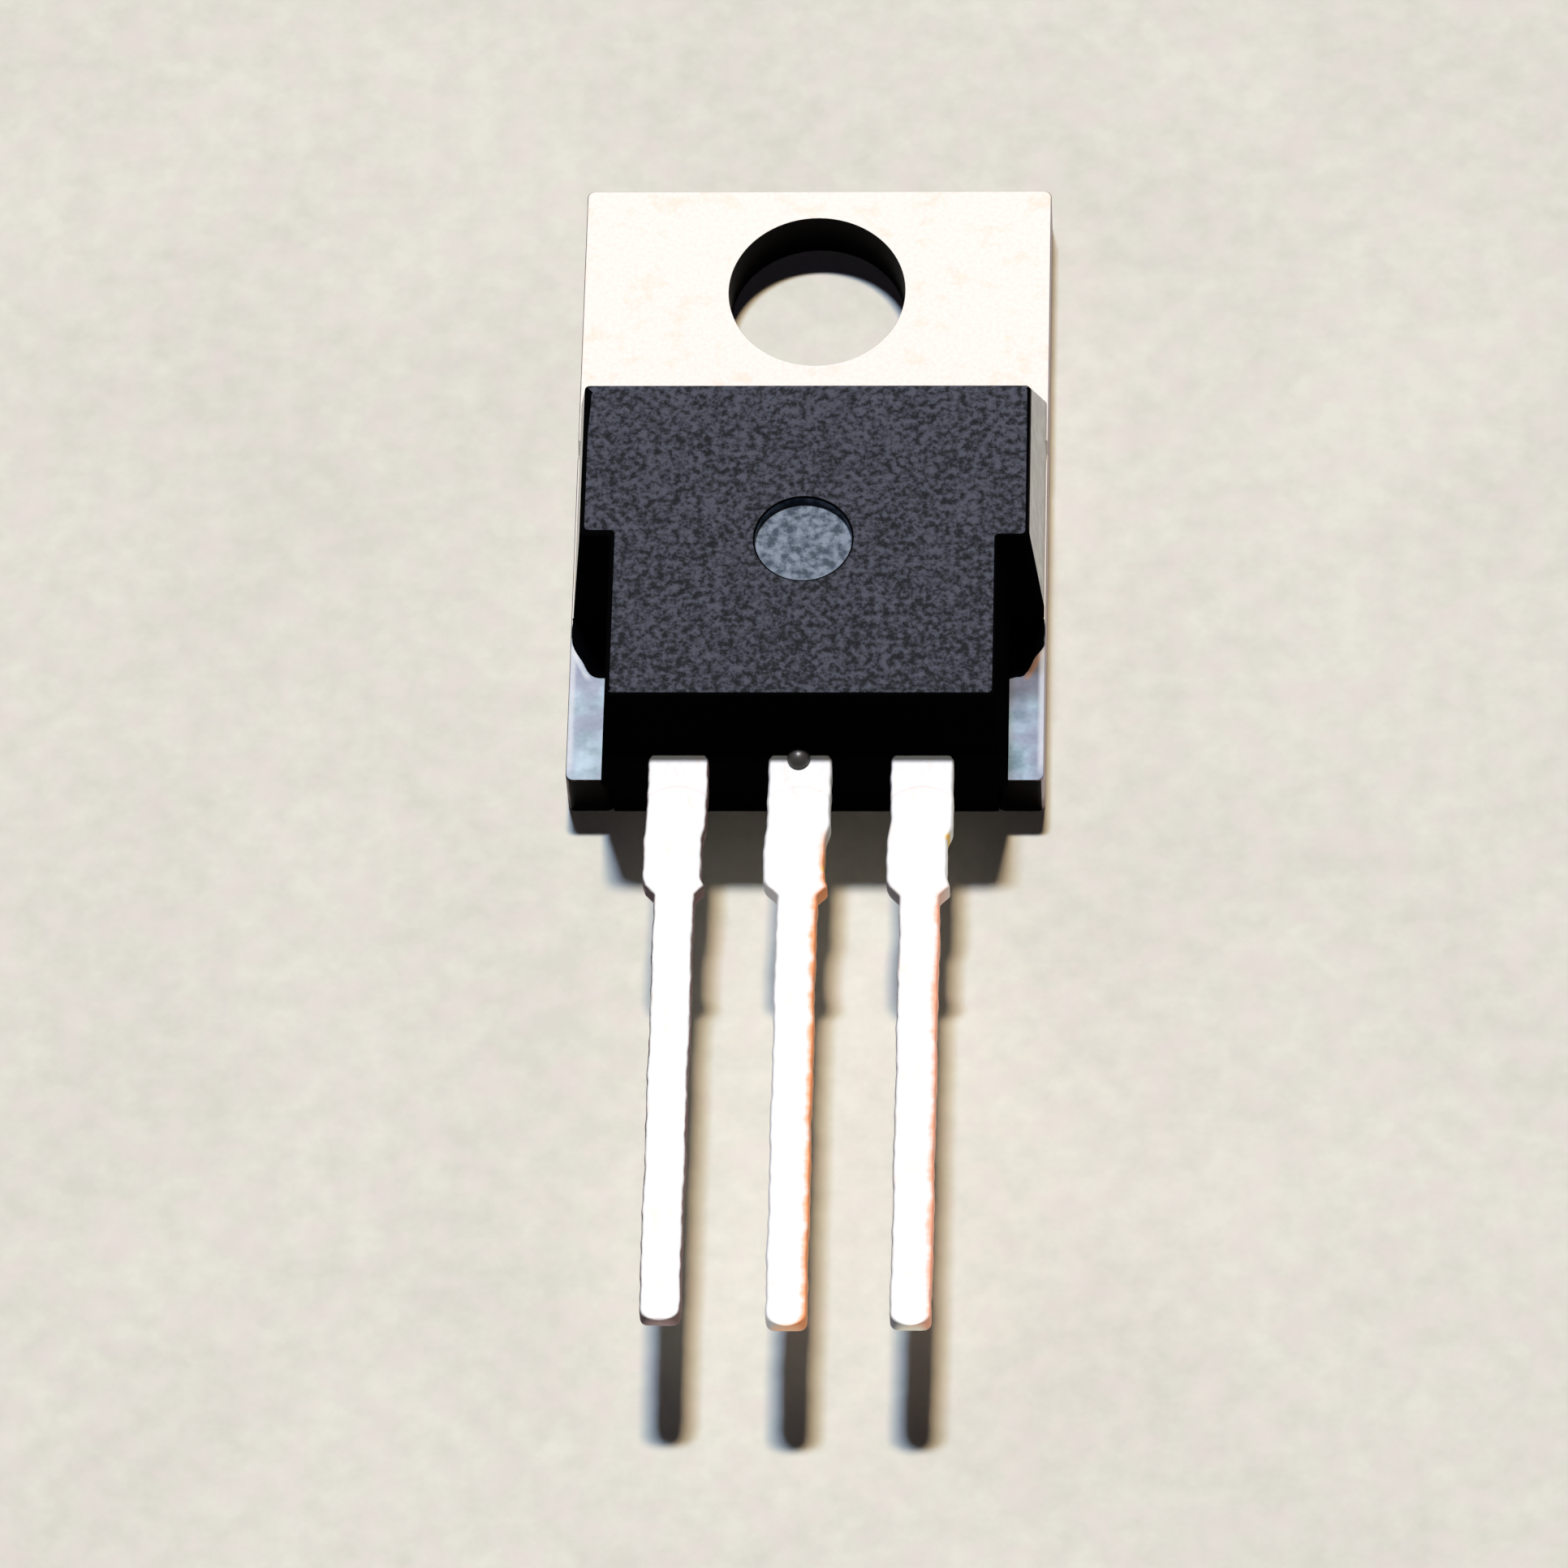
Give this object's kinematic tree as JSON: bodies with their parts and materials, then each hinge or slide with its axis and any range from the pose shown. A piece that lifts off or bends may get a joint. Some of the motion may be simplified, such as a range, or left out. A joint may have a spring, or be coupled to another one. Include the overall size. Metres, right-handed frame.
{
  "type": "power transistor",
  "caption": "Through-hole power transistor: flat black moulded body on a bright metal mounting tab with a screw hole, and straight flat leads for soldering.",
  "frame": {"origin": "on the axis of the mounting hole, in the back face of the tab", "axes": "+X across the leads, to the right as seen from the front with the leads down; +Y from the lead tips towards the tab's free end; +Z out of the body's front face"},
  "size_m": [0.0102, 0.029, 0.0044],
  "materials": {
    "tab_plating": "satin bright tin plating over copper, faintly mottled",
    "lead_plating": "bright tin plating over copper, with warm sheared edges",
    "epoxy": "fine-grained black moulding compound",
    "silicon": "polished grey",
    "solder": "satin grey",
    "bond_wire": "drawn bright aluminium"
  },
  "bodies": {
    "root": {"heat_sink_tab": "tab_plating", "gate_lead": "lead_plating", "source_lead": "lead_plating", "moulded_body": "epoxy", "silicon_die": "silicon", "die_attach_solder": "solder", "gate_bond_wire": "bond_wire", "source_bond_wire_1": "bond_wire", "source_bond_wire_2": "bond_wire"}
  },
  "joints": []
}
